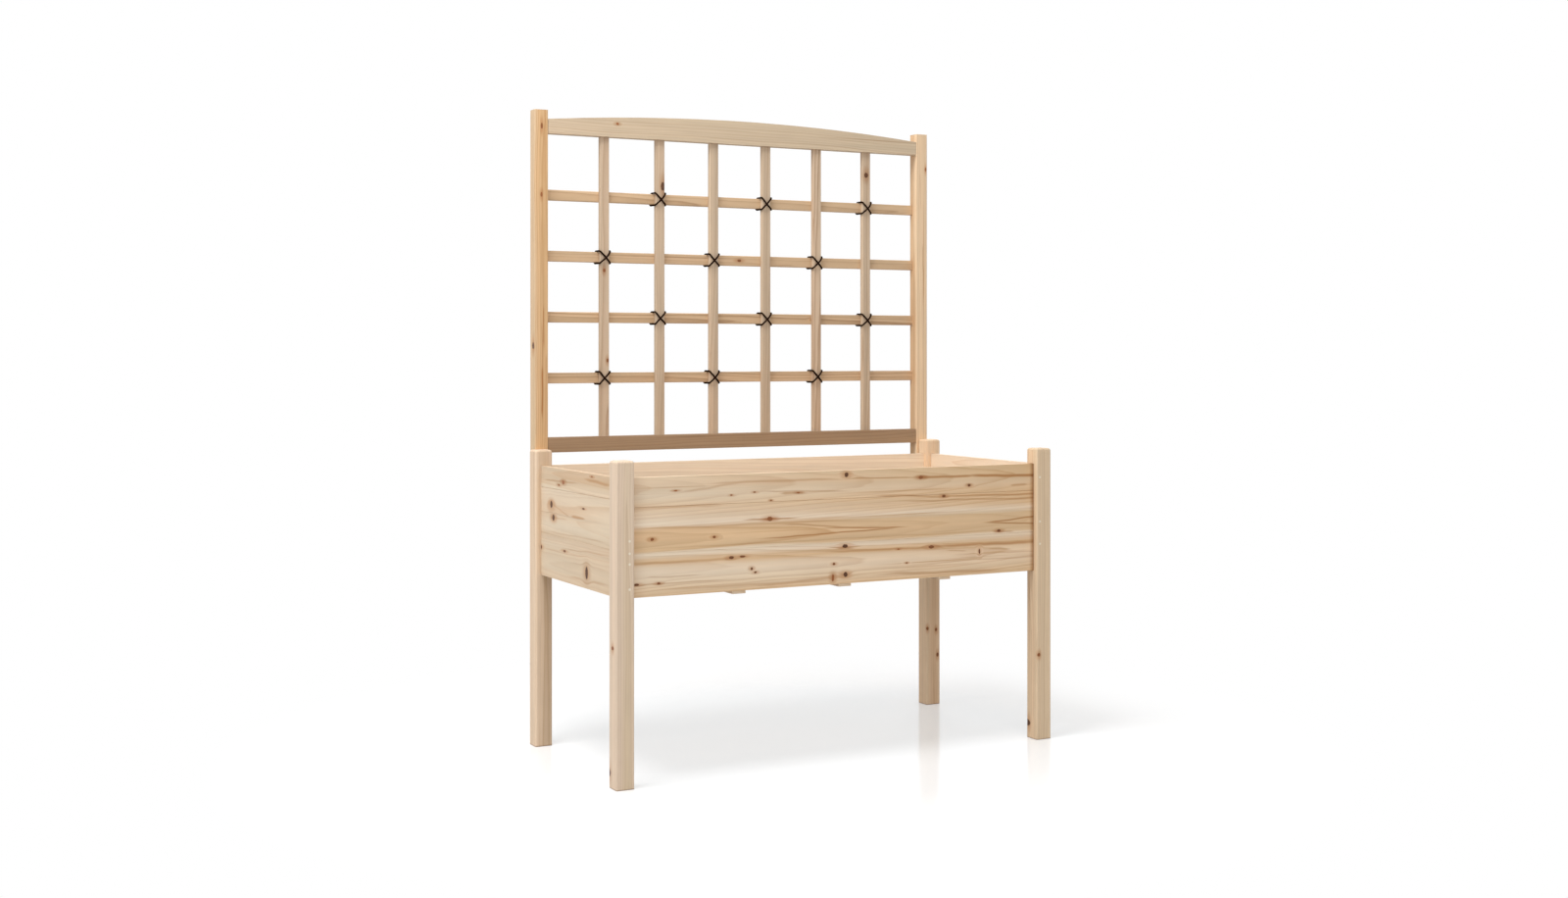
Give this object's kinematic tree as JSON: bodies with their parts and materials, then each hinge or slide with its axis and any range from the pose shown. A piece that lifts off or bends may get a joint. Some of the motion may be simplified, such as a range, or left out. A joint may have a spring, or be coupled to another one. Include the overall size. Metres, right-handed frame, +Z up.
{
  "type": "planter with trellis",
  "caption": "Raised rectangular wooden planter box on square legs, with a tall arched lattice trellis fixed behind it.",
  "frame": {"origin": "middle of the whole footprint, on the floor", "axes": "+X to the right along the planter's length, +Y to the back where the trellis stands, +Z up"},
  "size_m": [1.245, 0.6264, 1.663],
  "materials": {
    "leg_wood": "sanded bare fir, pale beige with soft upright grain",
    "panel_wood": "sanded bare fir staves, pale sapwood and warm heartwood with small knots",
    "floor_wood": "bare fir, less finely sanded",
    "post_wood": "sanded bare fir, yellow with orange grain",
    "lattice_wood": "sanded bare fir, light brown",
    "screw_steel": "zinc plated",
    "tie_cord": "dark brown twisted cord"
  },
  "bodies": {
    "root": {"floor_batten_left": "floor_wood", "floor_batten_middle": "floor_wood", "floor_batten_right": "floor_wood", "floor_board_1": "floor_wood", "floor_board_2": "floor_wood", "floor_board_3": "floor_wood", "floor_board_4": "floor_wood", "floor_board_5": "floor_wood", "floor_cleat_left": "floor_wood", "floor_cleat_right": "floor_wood", "front_board_1": "panel_wood", "front_board_2": "panel_wood", "front_board_3": "panel_wood", "front_board_4": "panel_wood", "lattice_tie_bar1_slat2": "tie_cord", "lattice_tie_bar1_slat4": "tie_cord", "lattice_tie_bar1_slat6": "tie_cord", "lattice_tie_bar2_slat1": "tie_cord", "lattice_tie_bar2_slat3": "tie_cord", "lattice_tie_bar2_slat5": "tie_cord", "lattice_tie_bar3_slat2": "tie_cord", "lattice_tie_bar3_slat4": "tie_cord", "lattice_tie_bar3_slat6": "tie_cord", "lattice_tie_bar4_slat1": "tie_cord", "lattice_tie_bar4_slat3": "tie_cord", "lattice_tie_bar4_slat5": "tie_cord", "left_board_1": "panel_wood", "left_board_2": "panel_wood", "left_board_3": "panel_wood", "left_board_4": "panel_wood", "leg_front_left": "leg_wood", "leg_front_right": "leg_wood", "leg_rear_left": "leg_wood", "leg_rear_right": "leg_wood", "rear_board_1": "panel_wood", "rear_board_2": "panel_wood", "rear_board_3": "panel_wood", "rear_board_4": "panel_wood", "right_board_1": "panel_wood", "right_board_2": "panel_wood", "right_board_3": "panel_wood", "right_board_4": "panel_wood", "trellis_bottom_rail": "lattice_wood", "trellis_crossbar_1": "lattice_wood", "trellis_crossbar_2": "lattice_wood", "trellis_crossbar_3": "lattice_wood", "trellis_crossbar_4": "lattice_wood", "trellis_post_left": "post_wood", "trellis_post_right": "post_wood", "trellis_screw_left_lower": "screw_steel", "trellis_screw_left_upper": "screw_steel", "trellis_screw_right_lower": "screw_steel", "trellis_screw_right_upper": "screw_steel", "trellis_slat_1": "lattice_wood", "trellis_slat_2": "lattice_wood", "trellis_slat_3": "lattice_wood", "trellis_slat_4": "lattice_wood", "trellis_slat_5": "lattice_wood", "trellis_slat_6": "lattice_wood", "trellis_top_rail": "lattice_wood"}
  },
  "joints": []
}
